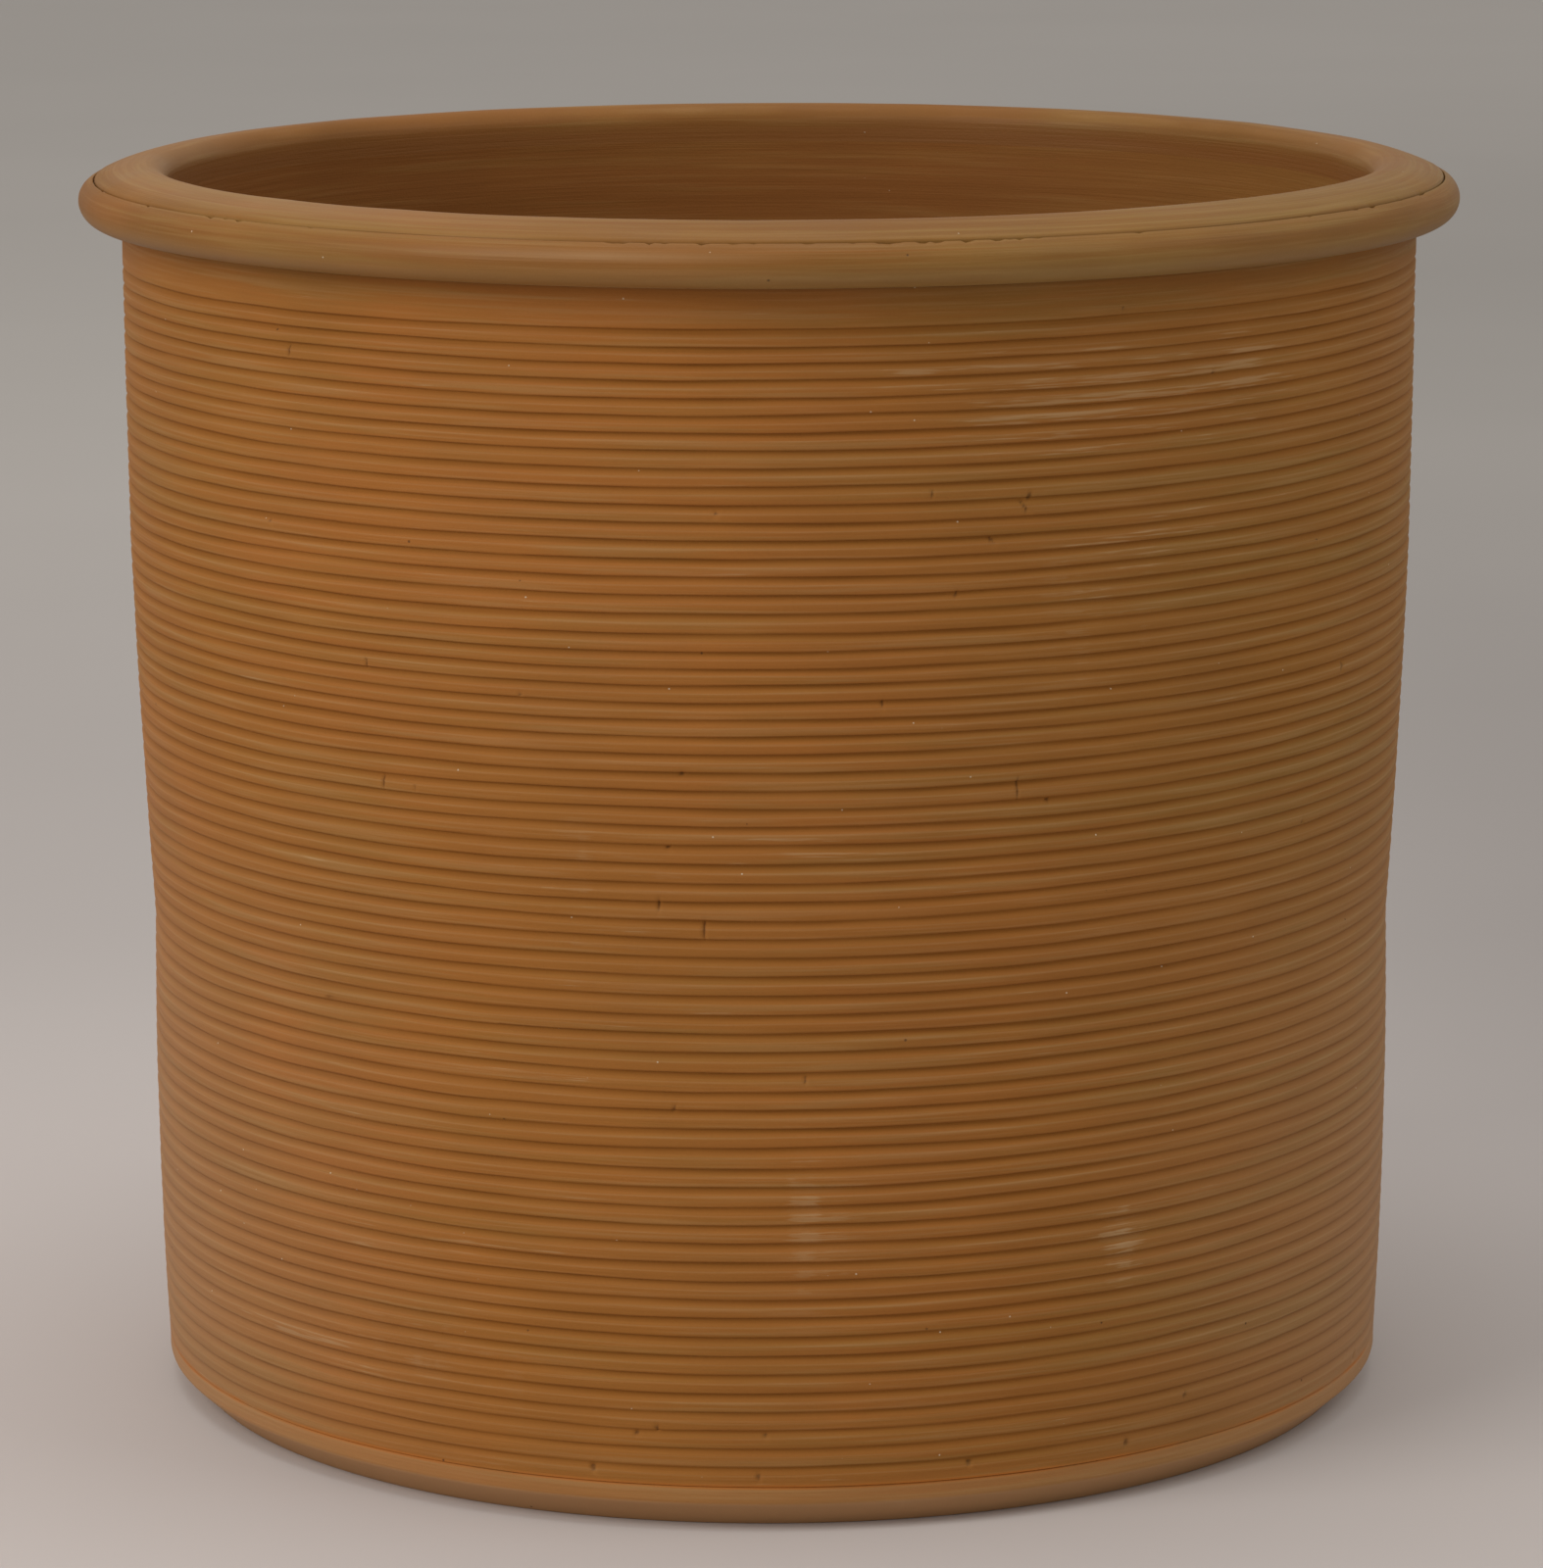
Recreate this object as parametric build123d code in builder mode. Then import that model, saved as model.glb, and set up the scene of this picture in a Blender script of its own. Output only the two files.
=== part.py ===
from build123d import *
import os

# Combed terracotta floor planter, in millimetres.
# The origin is the centre of the underside, and +Z is up.
# A pot this large is luted together from parts made one by one: a floor slab,
# three thrown wall rings, a coil in the inside corner, a bead and a lip ring.
# Every part is round, so each profile is drawn as radius and level on the XZ plane.

# Mouth and wall
mouth_diameter = 480.0
wall_thickness = 18.0

# How much narrower each wall ring is at its foot than at its top, on the radius
upper_wall_taper = 0.9
middle_wall_taper = 6.8
lower_wall_taper = 2.3
# How far the outside of each wall ring swells between its two ends
upper_wall_belly = 0.2
middle_wall_belly = 0.6
lower_wall_belly = 1.6

# Heights of the wall rings
lower_wall_height = 174.7
middle_wall_height = 151.4
upper_wall_height = 128.0

# Floor slab
foot_bevel_width = 10.5
foot_bevel_height = 11.0
foot_band_height = 7.0
foot_round = 2.0
drain_hole_diameter = 30.0
drain_hole_round = 2.0

# Stepped, luted joints
tongue_height = 8.0
slip_gap = 0.3

# Coil in the inside corner
coil_leg = 14.0
coil_toe = 1.5

# Bead of the rim
bead_radius = 8.5
bead_overhang = 17.0
bead_ledge_width = 4.0
bead_crown = 2.1
seam_width = 0.6

# Lip of the rim
lip_height = 8.0
lip_skirt_depth = 8.0
lip_inner_round = 8.0
lip_past_bead_centre = 1.9
lip_edge_thickness = 2.4
lip_edge_round = 1.5

# Comb marks
comb_pitch = 6.95
comb_tooth_radius = 1.8
comb_depth = 1.2
plain_band_height = 16.0

# Radii that follow from the sizes above
mouth_radius = mouth_diameter / 2
half_wall = wall_thickness / 2
wall_top_radius = mouth_radius + wall_thickness
upper_joint_radius = wall_top_radius - upper_wall_taper
lower_joint_radius = upper_joint_radius - middle_wall_taper
heel_radius = lower_joint_radius - lower_wall_taper
foot_radius = heel_radius - foot_bevel_width
drain_hole_radius = drain_hole_diameter / 2
collar_radius = wall_top_radius - bead_ledge_width
collar_bore_radius = wall_top_radius - half_wall
bead_centre_radius = wall_top_radius + bead_overhang - bead_radius
lip_edge_radius = bead_centre_radius + lip_past_bead_centre

# Levels that follow from the sizes above
heel_level = foot_bevel_height + foot_band_height
floor_level = heel_level + tongue_height
lower_joint_level = heel_level + lower_wall_height
upper_joint_level = lower_joint_level + middle_wall_height
bead_seat_level = upper_joint_level + upper_wall_height
lip_underside_level = bead_seat_level + 2 * bead_radius - bead_crown
lip_seat_level = lip_underside_level - lip_skirt_depth
crest_level = lip_underside_level + lip_height


def wall_line(base_radius, base_level, top_radius, top_level, belly):
    """The outside of a wall ring: a shallow arc from its base to its top."""
    middle_radius = (base_radius + top_radius) / 2 + belly
    middle_level = (base_level + top_level) / 2
    return ThreePointArc(
        (base_radius, base_level),
        (middle_radius, middle_level),
        (top_radius, top_level),
    )


def recessed_base(joint_radius, joint_level, inner_radius, inner_level):
    """A ring's underside and inside: it seats on a shoulder and clears the tongue."""
    recess_radius = joint_radius - half_wall + slip_gap
    recess_level = joint_level + tongue_height + slip_gap
    Polyline(
        (joint_radius, joint_level),
        (recess_radius, joint_level),
        (recess_radius, recess_level),
        (joint_radius - wall_thickness, recess_level),
        (inner_radius, inner_level),
    )


def comb(marks):
    """Cuts a groove at each mark, with a round tooth whose centre stands off the wall."""
    stand_off = comb_tooth_radius - comb_depth
    with Locations([(mark.X + stand_off, mark.Y) for mark in marks]):
        Circle(comb_tooth_radius, mode=Mode.SUBTRACT)


def comb_marks(line, combed_height):
    """Evenly spaced marks up a wall line, from its base to the combed height."""
    line_height = (line @ 1).Y - (line @ 0).Y
    groove_count = max(1, round(combed_height / comb_pitch))
    step = combed_height / line_height / groove_count
    return [line @ (index * step) for index in range(groove_count + 1)]


def jointed_ring(base_radius, base_level, top_radius, top_level, belly):
    """Outline of a wall ring with a joint at both ends. Returns its outside line."""
    tongue_level = top_level + tongue_height
    Polyline(
        (top_radius, top_level),
        (top_radius - half_wall, top_level),
        (top_radius - half_wall, tongue_level),
        (top_radius - wall_thickness, tongue_level),
    )
    recessed_base(base_radius, base_level, top_radius - wall_thickness, tongue_level)
    return wall_line(base_radius, base_level, top_radius, top_level, belly)


# Floor slab: the foot's bevel and band, and a raised tongue that centres the wall
with BuildPart() as floor_slab:
    with BuildSketch(Plane.XZ) as slab_profile:
        with BuildLine():
            Polyline(
                (drain_hole_radius, 0),
                (foot_radius, 0),
                (heel_radius, foot_bevel_height),
                (heel_radius, heel_level),
                (heel_radius - half_wall, heel_level),
                (heel_radius - half_wall, floor_level),
                (drain_hole_radius, floor_level),
                close=True,
            )
        make_face()
        hole_corners = slab_profile.vertices().group_by(Axis.X)[0]
        fillet(hole_corners, drain_hole_round)
        foot_corner = slab_profile.vertices().group_by(Axis.Y)[0].sort_by(Axis.X)[-1]
        fillet(foot_corner, foot_round)
        comb([Vector(heel_radius, heel_level)])
    revolve(axis=Axis.Z)
floor_slab.part.label = "floor_slab"

# Corner coil: pressed into the corner between the floor and the lower wall
coil_back_radius = heel_radius - wall_thickness - slip_gap
coil_front_radius = coil_back_radius - coil_leg
coil_top_level = floor_level + coil_leg
with BuildPart() as corner_coil:
    with BuildSketch(Plane.XZ):
        with BuildLine():
            Polyline(
                (coil_front_radius, floor_level + coil_toe),
                (coil_front_radius, floor_level),
                (coil_back_radius, floor_level),
                (coil_back_radius, coil_top_level),
                (coil_back_radius - coil_toe, coil_top_level),
            )
            RadiusArc(
                (coil_back_radius - coil_toe, coil_top_level),
                (coil_front_radius, floor_level + coil_toe),
                coil_leg,
            )
        make_face()
    revolve(axis=Axis.Z)
corner_coil.part.label = "corner_coil"

# Lower wall ring
with BuildPart() as lower_wall:
    with BuildSketch(Plane.XZ):
        with BuildLine():
            lower_line = jointed_ring(
                heel_radius, heel_level, lower_joint_radius, lower_joint_level, lower_wall_belly
            )
        make_face()
        comb(comb_marks(lower_line, lower_wall_height))
    revolve(axis=Axis.Z)
lower_wall.part.label = "lower_wall"

# Middle wall ring
with BuildPart() as middle_wall:
    with BuildSketch(Plane.XZ):
        with BuildLine():
            middle_line = jointed_ring(
                lower_joint_radius,
                lower_joint_level,
                upper_joint_radius,
                upper_joint_level,
                middle_wall_belly,
            )
        make_face()
        comb(comb_marks(middle_line, middle_wall_height))
    revolve(axis=Axis.Z)
middle_wall.part.label = "middle_wall"

# Upper wall ring: a ledge for the bead, and a collar for the lip's skirt to fit in
with BuildPart() as upper_wall:
    with BuildSketch(Plane.XZ):
        with BuildLine():
            upper_line = wall_line(
                upper_joint_radius,
                upper_joint_level,
                wall_top_radius,
                bead_seat_level,
                upper_wall_belly,
            )
            Polyline(
                (wall_top_radius, bead_seat_level),
                (collar_radius, bead_seat_level),
                (collar_radius, lip_underside_level - slip_gap),
                (collar_bore_radius, lip_underside_level - slip_gap),
                (collar_bore_radius, lip_seat_level),
                (mouth_radius, lip_seat_level),
            )
            recessed_base(upper_joint_radius, upper_joint_level, mouth_radius, lip_seat_level)
        make_face()
        comb(comb_marks(upper_line, upper_wall_height - plain_band_height))
    revolve(axis=Axis.Z)
upper_wall.part.label = "upper_wall"

# Rim bead: a coil on the wall's ledge, round its collar and flat under the lip
bead_bore_radius = collar_radius + slip_gap
bead_top_level = lip_underside_level - slip_gap
with BuildPart() as rim_bead:
    with BuildSketch(Plane.XZ):
        with Locations((bead_centre_radius, bead_seat_level + bead_radius)):
            Circle(bead_radius)
        with Locations((bead_bore_radius, bead_seat_level)):
            Rectangle(
                bead_centre_radius - bead_bore_radius,
                bead_top_level - bead_seat_level,
                align=(Align.MIN, Align.MIN),
            )
        with Locations((bead_bore_radius, bead_top_level)):
            Rectangle(
                lip_edge_radius + seam_width - bead_bore_radius,
                bead_radius,
                align=(Align.MIN, Align.MIN),
                mode=Mode.SUBTRACT,
            )
    revolve(axis=Axis.Z)
rim_bead.part.label = "rim_bead"

# Rim lip: a skirt inside the collar, and a flange over the bead up to the seam
lip_skirt_radius = collar_bore_radius - slip_gap
lip_edge_level = lip_underside_level + lip_edge_thickness
with BuildPart() as rim_lip:
    with BuildSketch(Plane.XZ) as lip_profile:
        with BuildLine():
            Polyline(
                (lip_edge_radius, lip_edge_level),
                (lip_edge_radius, lip_underside_level),
                (lip_skirt_radius, lip_underside_level),
                (lip_skirt_radius, lip_seat_level),
                (mouth_radius, lip_seat_level),
                (mouth_radius, crest_level - lip_inner_round),
            )
            RadiusArc(
                (mouth_radius, crest_level - lip_inner_round),
                (mouth_radius + lip_inner_round, crest_level),
                lip_inner_round,
            )
            TangentArc(
                (mouth_radius + lip_inner_round, crest_level),
                (lip_edge_radius, lip_edge_level),
                tangent=(1, 0),
            )
        make_face()
        lip_edge = lip_profile.vertices().group_by(Axis.X)[-1].sort_by(Axis.Y)[-1]
        fillet(lip_edge, lip_edge_round)
    revolve(axis=Axis.Z)
rim_lip.part.label = "rim_lip"

os.makedirs("parts", exist_ok=True)
for piece in (floor_slab, corner_coil, lower_wall, middle_wall, upper_wall, rim_bead, rim_lip):
    export_step(piece.part, f"parts/{piece.part.label}.step")
    print(piece.part.label, "volume in cubic millimetres", round(piece.part.volume))
print("height", crest_level, "across the bead", 2 * (bead_centre_radius + bead_radius))
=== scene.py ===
"""Looks for a combed terracotta floor planter: a slab foot, three wall rings, and a rolled rim."""

import math
import random

import bmesh
import bpy
from bpy.props import (
    FloatProperty,
    FloatVectorProperty,
    IntProperty,
    PointerProperty,
)
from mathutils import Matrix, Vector, noise


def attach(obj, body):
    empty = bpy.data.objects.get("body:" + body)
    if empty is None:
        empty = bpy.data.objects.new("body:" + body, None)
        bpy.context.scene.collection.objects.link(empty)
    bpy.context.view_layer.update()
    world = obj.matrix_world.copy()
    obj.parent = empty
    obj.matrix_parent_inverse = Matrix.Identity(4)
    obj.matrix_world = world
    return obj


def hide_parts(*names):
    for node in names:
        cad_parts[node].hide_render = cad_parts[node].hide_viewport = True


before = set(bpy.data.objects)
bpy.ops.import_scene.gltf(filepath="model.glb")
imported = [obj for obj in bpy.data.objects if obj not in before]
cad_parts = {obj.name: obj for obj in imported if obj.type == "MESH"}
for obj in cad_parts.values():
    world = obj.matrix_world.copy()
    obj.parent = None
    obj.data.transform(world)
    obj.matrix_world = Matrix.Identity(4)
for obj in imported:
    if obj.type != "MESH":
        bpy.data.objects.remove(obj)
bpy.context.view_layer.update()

bl_info = {
    "name": "Combed Terracotta Planter",
    "version": (1, 0, 0),
    "blender": (4, 5, 0),
    "location": "3D View > Sidebar > Planter",
    "description": "Builds a thrown and combed terracotta planter, its clay, and a plain studio",
    "category": "Add Mesh",
}

MM = 0.001
BODY = "root"

# Driving sizes of the pot, in millimetres
MOUTH_RADIUS = 240.0
WALL_THICKNESS = 18.0
TONGUE = 8.0
SLIP_GAP = 0.3
DRAIN_RADIUS = 15.0
DRAIN_ROUND = 2.0
COIL_LEG = 14.0
BEAD_RADIUS = 8.5
BEAD_LEDGE = 4.0
LIP_ROUND = 8.0
CREST_LEVEL = 495.0

# Radius and level of the wall's outside at its joints, from the heel to the bead's seat
HEEL = (248.0, 18.0)
LOWER_JOINT = (250.3, 192.7)
UPPER_JOINT = (257.1, 344.1)
WALL_TOP = (MOUTH_RADIUS + WALL_THICKNESS, 472.1)

# Sizes that follow from those
HALF_WALL = WALL_THICKNESS / 2
FLOOR_LEVEL = HEEL[1] + TONGUE
COLLAR_RADIUS = WALL_TOP[0] - BEAD_LEDGE
COLLAR_BORE = WALL_TOP[0] - HALF_WALL
BEAD_CENTRE = (WALL_TOP[0] + BEAD_RADIUS, WALL_TOP[1] + BEAD_RADIUS)
LIP_UNDERSIDE = CREST_LEVEL - LIP_ROUND
LIP_SEAT = LIP_UNDERSIDE - TONGUE
COLLAR_TOP = LIP_UNDERSIDE - SLIP_GAP

# The wall rings, whose comb marks run on from one to the next: CAD node, base, top, swell in
# millimetres, first turn of the comb, turns, marks, and pitch of the first mark against the mean
RINGS = (
    ("lower_wall", HEEL, LOWER_JOINT, 1.6, 0, 24, 24, 1.0),
    ("middle_wall", LOWER_JOINT, UPPER_JOINT, 0.6, 24, 22, 22, 1.084),
    ("upper_wall", UPPER_JOINT, WALL_TOP, 0.2, 46, 19.6, 20, 1.067),
)
# Turns of the spiral at which the comb is set down and lifted off
COMB_DOWN = 0.5
COMB_UP = 63.42

# How far up one comb mark, from its lower lip, each row of the wall's mesh lies
COMB_ROWS = (0.0, 0.2, 0.33, 0.42, 0.485, 0.56, 0.86)
# The section of one comb mark, from its lower lip up: share of the mark, share of its depth
COMB_SECTION = (
    (0.0, 0.0),
    (0.1, 0.22),
    (0.2, 0.68),
    (0.33, 1.0),
    (0.42, 0.94),
    (0.485, 0.24),
    (0.56, 0.09),
    (0.86, 0.08),
    (1.0, 0.0),
)
# Share of the depth at which the flat of a rib lies, and share of the mark where it is centred
RIB_FACE = 0.08
COMB_MIDDLE = 0.39

# Dents a careless tool left: degrees round from the front, level, half width, half height,
# depth, and lean in degrees, with the sizes in millimetres
NICKS = (
    (-44, 440, 0.8, 3.2, 0.9, 4),
    (-36, 326, 0.8, 2.2, 0.7, 0),
    (-47, 375, 1.2, 1.2, 0.6, 0),
    (-34.6, 281, 0.7, 3.4, 0.9, 2),
    (-31.4, 280, 0.7, 1.6, 0.6, 0),
    (-9.4, 242, 0.8, 3.2, 0.8, 3),
    (-5.6, 233, 0.9, 4.6, 0.9, -2),
    (-8.6, 264, 1.1, 0.9, 0.8, 0),
    (9.2, 318, 0.8, 2.2, 0.7, 10),
    (23.8, 278, 1.2, 1.0, 0.8, 0),
    (21, 284, 6.5, 0.7, 0.6, 88),
    (21.2, 389, 0.7, 4.4, 0.8, 42),
    (18.4, 377, 0.7, 2.6, 0.7, 40),
    (13.3, 395, 0.7, 2.0, 0.6, 0),
    (-4.4, 389, 1.2, 1.0, 0.9, 0),
    (-15.8, 23, 1.5, 2.0, 1.0, 15),
    (-1.2, 22, 1.2, 1.4, 0.9, 0),
    (17.4, 24, 1.6, 1.6, 1.0, 30),
    (33, 23, 1.6, 1.6, 1.0, -20),
    (39.6, 37, 1.4, 1.4, 0.8, 0),
    (70, 21, 2.4, 1.8, 1.1, 20),
    (-11.8, 38, 1.2, 1.2, 0.8, 0),
    (-0.6, 38, 1.3, 1.2, 0.8, 0),
)

# Places worn pale by strokes: degrees round from the front, level in millimetres,
# half width in degrees, half height in millimetres, strength
SCUFFED_PLACES = (
    (24, 424, 16, 26, 0.75),
    (42, 430, 16, 26, 0.65),
    (12, 441, 8, 10, 0.5),
    (33, 372, 10, 24, 0.6),
    (5, 262, 13, 9, 0.55),
    (-48, 56, 16, 9, 0.75),
    (-30, 104, 26, 8, 0.5),
    (-22, 176, 9, 10, 0.3),
    (150, 300, 34, 70, 0.5),
    (-130, 120, 26, 50, 0.55),
)

# Chalky runs, given in the same way
CHALKY_PLACES = (
    (3.5, 126, 6, 46, 0.55),
    (32, 106, 5, 28, 0.9),
    (-34, 62, 18, 30, 0.3),
    (28, 350, 9, 60, 0.35),
    (-16, 250, 12, 60, 0.22),
    (120, 200, 14, 90, 0.6),
    (-160, 330, 18, 80, 0.5),
)


def colour_property(name, description, default):
    """A colour that a user may change."""
    return FloatVectorProperty(
        name=name, description=description, default=default, subtype="COLOR"
    )


class PlanterSizes(bpy.types.PropertyGroup):
    """Sizes of the planter that a user may change."""

    comb_depth: FloatProperty(
        name="Comb depth", description="Depth of the comb marks", default=0.00118,
        subtype="DISTANCE", unit="LENGTH",
    )
    comb_wander: FloatProperty(
        name="Comb wander", description="How far a comb mark wanders, in marks", default=0.2,
    )
    unevenness: FloatProperty(
        name="Unevenness", description="How far hand throwing leaves the wall out of true",
        default=0.00028, subtype="DISTANCE", unit="LENGTH",
    )
    throwing_ring_depth: FloatProperty(
        name="Throwing ring depth", description="Depth of the finger rings inside",
        default=0.00035, subtype="DISTANCE", unit="LENGTH",
    )
    wall_columns: IntProperty(
        name="Wall columns", description="Mesh columns round each wall ring", default=468,
    )
    rim_columns: IntProperty(
        name="Rim columns", description="Mesh columns round the bead and the lip", default=900,
    )
    seed: IntProperty(
        name="Seed", description="Seed of the marks that hands and tools left", default=7,
    )


class PlanterColours(bpy.types.PropertyGroup):
    """Colours of the fired clay, and of the shade and light painted on it."""

    clay: colour_property("Clay", "Main colour of the fired clay", (0.300, 0.118, 0.023))
    ember: colour_property("Ember", "Redder clay where the kiln was hotter", (0.325, 0.120, 0.024))
    rim: colour_property("Rim", "Clay of the bead and the lip", (0.196, 0.076, 0.0105))
    # The olive also tints the right side as painted shade, and the bead's underside with its
    # painted bounce light
    olive: colour_property(
        "Olive wash", "Yellow green bloom left by the slip", (0.235, 0.128, 0.028)
    )
    # The pale colour also paints the highlights on the comb marks' lower lips, the lip's top and
    # the bead, and the bead's painted bounce light
    pale: colour_property("Pale bloom", "Lime bloom and worn places", (0.42, 0.26, 0.125))
    # The groove colour is darker clay and painted shade in the comb marks, and the painted shade of
    # a crease under the seam
    groove: colour_property("Groove", "Clay in the bottom of the comb marks", (0.235, 0.084, 0.011))
    # The inside colour is a darker copy of the clay: painted shade inside the pot
    inside: colour_property("Inside", "Clay inside the planter", (0.20, 0.072, 0.0145))
    # The foot colour is painted pale as a stand-in for light bounced up from the floor
    foot: colour_property("Foot", "Dusty clay of the bevel and the underside", (0.43, 0.243, 0.115))
    # The dust colour also paints a sheen towards the edges
    dust_and_sheen: colour_property("Dust", "Pinkish dust low on the sides", (0.42, 0.28, 0.18))
    joint: colour_property(
        "Joint", "Clean bright clay in the joint above the foot", (0.42, 0.135, 0.022)
    )
    # The pit colour also paints the shadow under the bead
    pit: colour_property("Pit", "Dirt in pits and nicks", (0.06, 0.03, 0.014))
    grog: colour_property("Grog", "Specks of pale grog and mica", (0.62, 0.52, 0.38))


class PlanterStage(bpy.types.PropertyGroup):
    """Floor, lamps and camera."""

    floor: colour_property("Floor", "Colour of the floor", (0.53, 0.483, 0.462))
    far_floor: colour_property(
        "Far floor", "Colour of the floor and the air far behind", (0.465, 0.433, 0.402)
    )
    key_power: FloatProperty(
        name="Key lamp", description="Power of the big soft lamp at the left",
        default=74.0, unit="POWER",
    )
    fill_power: FloatProperty(
        name="Fill lamp", description="Power of the soft lamp at the right",
        default=25.0, unit="POWER",
    )
    top_power: FloatProperty(
        name="Top lamp", description="Power of the soft lamp overhead",
        default=25.0, unit="POWER",
    )
    air_light: FloatProperty(
        name="Air light", description="Strength of the even light from all round", default=0.62,
    )
    lens: FloatProperty(
        name="Lens", description="Focal length in millimetres for a 36 mm sensor", default=145.5,
    )


# Node helpers


class Wire:
    """The output of a node. Arithmetic on it adds Math nodes."""

    def __init__(self, graph, socket):
        self.graph = graph
        self.socket = socket

    def _math(self, operation, first, second):
        return self.graph.math(operation, first, second)

    def __add__(self, other):
        return self._math("ADD", self, other)

    def __radd__(self, other):
        return self._math("ADD", other, self)

    def __sub__(self, other):
        return self._math("SUBTRACT", self, other)

    def __rsub__(self, other):
        return self._math("SUBTRACT", other, self)

    def __mul__(self, other):
        return self._math("MULTIPLY", self, other)

    def __truediv__(self, other):
        return self._math("DIVIDE", self, other)


class Graph:
    """Adds nodes to one node tree and joins them up."""

    def __init__(self, tree):
        self.tree = tree

    def add(self, kind, settings=None, inputs=None, output=0):
        """Adds a node, sets it up, then gives its sockets their values or links."""
        node = self.tree.nodes.new(kind)
        for name, value in (settings or {}).items():
            if name == "curve":
                self._set_curve(node.mapping, value)
            else:
                setattr(node, name, value)
        for name, value in (inputs or {}).items():
            socket = self._socket(node, name)
            if isinstance(value, Wire):
                self.tree.links.new(value.socket, socket)
            else:
                socket.default_value = value
        return Wire(self, node.outputs[output])

    @staticmethod
    def _socket(node, name):
        """The input of a node by its number, or by its name among those in use."""
        if isinstance(name, int):
            return node.inputs[name]
        return next(socket for socket in node.inputs if socket.name == name and socket.enabled)

    @staticmethod
    def _set_curve(mapping, points):
        """Draws a curve with straight lines between its points."""
        curve = mapping.curves[0]
        while len(curve.points) < len(points):
            curve.points.new(0.5, 0.5)
        for point, place in zip(curve.points, points):
            point.location = place
            point.handle_type = "VECTOR"
        mapping.update()

    def math(self, operation, *values):
        """A Math node on one or more numbers."""
        return self.add("ShaderNodeMath", {"operation": operation}, dict(enumerate(values)))

    def vector(self, x, y, z):
        """A vector made of three numbers."""
        return self.add("ShaderNodeCombineXYZ", inputs={0: x, 1: y, 2: z})

    def times(self, colour, tone):
        """A colour made darker or lighter by a number."""
        return self.mix(1.0, colour, self.vector(tone, tone, tone), "MULTIPLY")

    def parts(self, vector):
        """The three numbers of a vector."""
        first = self.add("ShaderNodeSeparateXYZ", inputs={0: vector})
        return [Wire(self, socket) for socket in first.socket.node.outputs]

    def stretch(self, vector, scale):
        """A vector times a fixed vector."""
        return self.add(
            "ShaderNodeVectorMath", {"operation": "MULTIPLY"}, {0: vector, 1: scale}
        )

    def noise(self, vector, scale, detail=2.0, roughness=0.5):
        """Even noise about one half."""
        return self.add(
            "ShaderNodeTexNoise",
            inputs={"Vector": vector, "Scale": scale, "Detail": detail, "Roughness": roughness},
        )

    def ramp(self, value, low, high, bottom=0.0, top=1.0):
        """A smooth step from bottom to top as the value goes from low to high."""
        return self.add(
            "ShaderNodeMapRange",
            {"interpolation_type": "SMOOTHSTEP"},
            {"Value": value, "From Min": low, "From Max": high, "To Min": bottom, "To Max": top},
        )

    def finish(self, colour, roughness, specular, normal=None):
        """Joins the tree's shader and output to its colour, roughness and normal."""
        inputs = {"Base Color": colour, "Roughness": roughness}
        if normal:
            inputs["Normal"] = normal
        shader = self.add("ShaderNodeBsdfPrincipled", inputs=inputs)
        shader.socket.node.inputs["Specular IOR Level"].default_value = specular
        output = self.tree.nodes.new("ShaderNodeOutputMaterial")
        self.tree.links.new(shader.socket, output.inputs["Surface"])

    def mix(self, factor, first, second, blend="MIX"):
        """Mixes two colours."""
        first, second = (
            value if isinstance(value, Wire) else (*value, 1.0) for value in (first, second)
        )
        return self.add(
            "ShaderNodeMix",
            {"data_type": "RGBA", "blend_type": blend},
            {0: factor, 6: first, 7: second},
            output=2,
        )


# The comb: one spiral mark drawn up the turning wall


WALL_INPUTS = (
    ("Columns", "NodeSocketInt", 480),
    ("Comb Marks", "NodeSocketInt", 24),
    ("First Turn", "NodeSocketFloat", 0.0),
    ("Turns", "NodeSocketFloat", 24.0),
    ("First Pitch", "NodeSocketFloat", 1.0),
    ("Base Level", "NodeSocketFloat", 0.0),
    ("Height", "NodeSocketFloat", 0.17),
    ("Base Radius", "NodeSocketFloat", 0.25),
    ("Top Radius", "NodeSocketFloat", 0.25),
    ("Belly", "NodeSocketFloat", 0.0),
    ("Comb Down", "NodeSocketFloat", 0.5),
    ("Comb Up", "NodeSocketFloat", 63.4),
    ("Comb Depth", "NodeSocketFloat", 0.0013),
    ("Comb Wander", "NodeSocketFloat", 0.1),
    ("Unevenness", "NodeSocketFloat", 0.0003),
    ("Seed", "NodeSocketInt", 7),
    ("Clay", "NodeSocketMaterial", None),
)


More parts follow.
